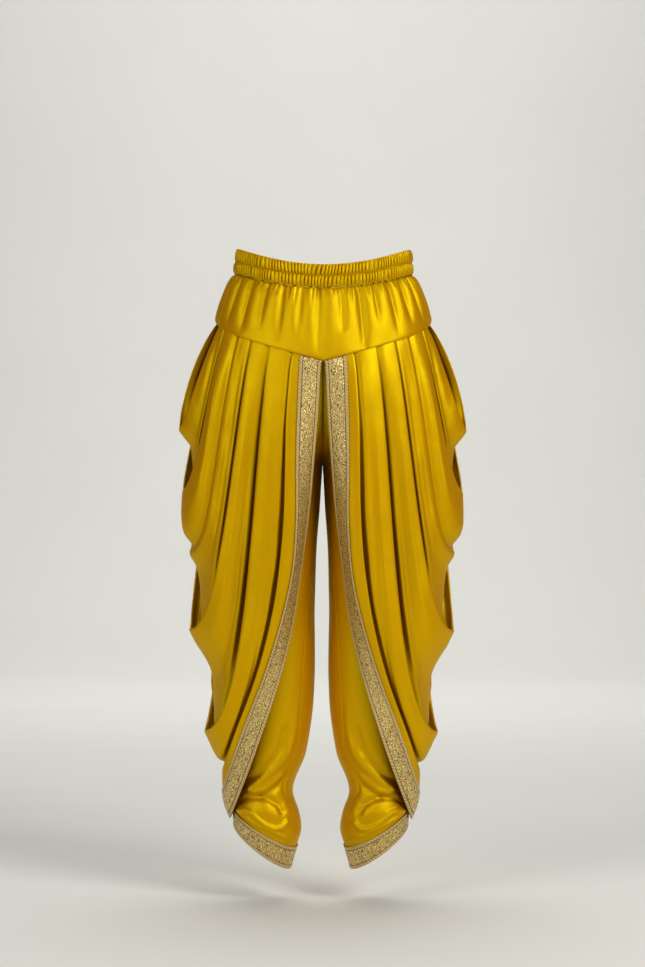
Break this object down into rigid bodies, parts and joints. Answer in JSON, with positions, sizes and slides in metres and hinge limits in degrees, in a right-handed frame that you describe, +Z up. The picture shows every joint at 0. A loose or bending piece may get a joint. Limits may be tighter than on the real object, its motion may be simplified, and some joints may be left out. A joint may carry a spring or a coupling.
{
  "type": "pleated draped dhoti-style trousers",
  "caption": "Pleated draped trousers with an elastic waistband, hip yoke, side cowls, narrow under-legs and brocade borders, shown filled out as worn.",
  "frame": {"origin": "centre of the waist opening, at mid height of the elastic waistband", "axes": "+Z up along the wearer, -Y to the wearer's front, +X to the wearer's left"},
  "size_m": [0.4632, 0.2438, 0.9866],
  "materials": {
    "satin": "glossy golden-yellow satin weave",
    "brocade": "antique gold woven brocade ribbon with dark brown edge lines"
  },
  "bodies": {
    "root": {"waistband": "satin", "yoke_front": "satin", "yoke_back": "satin", "under_front_left": "satin", "under_back_left": "satin", "under_front_right": "satin", "under_back_right": "satin", "drape_left": "satin", "drape_right": "satin", "drape_border_left": "brocade", "drape_border_right": "brocade", "hem_border_left": "brocade", "hem_border_right": "brocade"}
  },
  "joints": []
}
